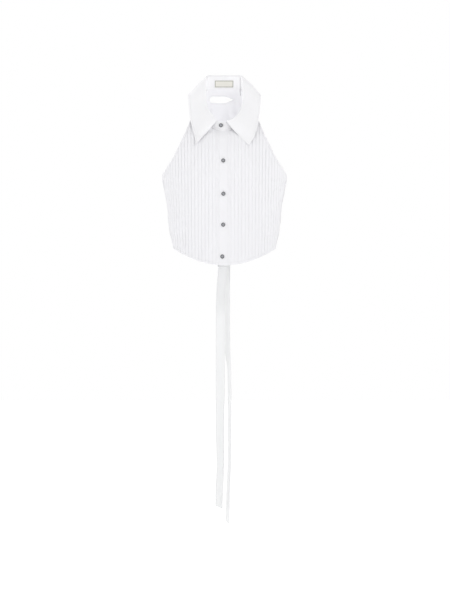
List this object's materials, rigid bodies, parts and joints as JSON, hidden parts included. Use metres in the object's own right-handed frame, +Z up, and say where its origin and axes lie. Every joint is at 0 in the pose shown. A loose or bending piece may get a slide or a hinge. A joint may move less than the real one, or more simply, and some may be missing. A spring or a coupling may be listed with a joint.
{
  "type": "pleated halter top",
  "caption": "Sleeveless pleated halter top with a shirt collar, buttoned front, back keyhole and long waist ties, filled out and hollow.",
  "frame": {"origin": "middle of the neck ring at the side of the neck, where the neck holds the collar stand", "axes": "+Z up, front faces -Y, the garment's left as seen from the front is -X"},
  "size_m": [0.3519, 0.247, 1.2593],
  "materials": {
    "white_cotton": "matt white cotton poplin",
    "tie_cotton": "matt white cotton poplin, double",
    "label_cloth": "woven cream tape with a dark edge",
    "button_shell": "dark grey shell, polished"
  },
  "bodies": {
    "root": {"front_left": "white_cotton", "front_right": "white_cotton", "button_placket": "white_cotton", "back_panel": "white_cotton", "collar_stand": "white_cotton", "collar_fall": "white_cotton", "neck_label": "label_cloth", "button_stand": "button_shell", "button_1": "button_shell", "button_2": "button_shell", "button_3": "button_shell", "button_4": "button_shell", "waist_tie_left": "tie_cotton", "waist_tie_right": "tie_cotton", "tie_knot": "tie_cotton", "tie_tail_left": "tie_cotton", "tie_tail_right": "tie_cotton"}
  },
  "joints": []
}
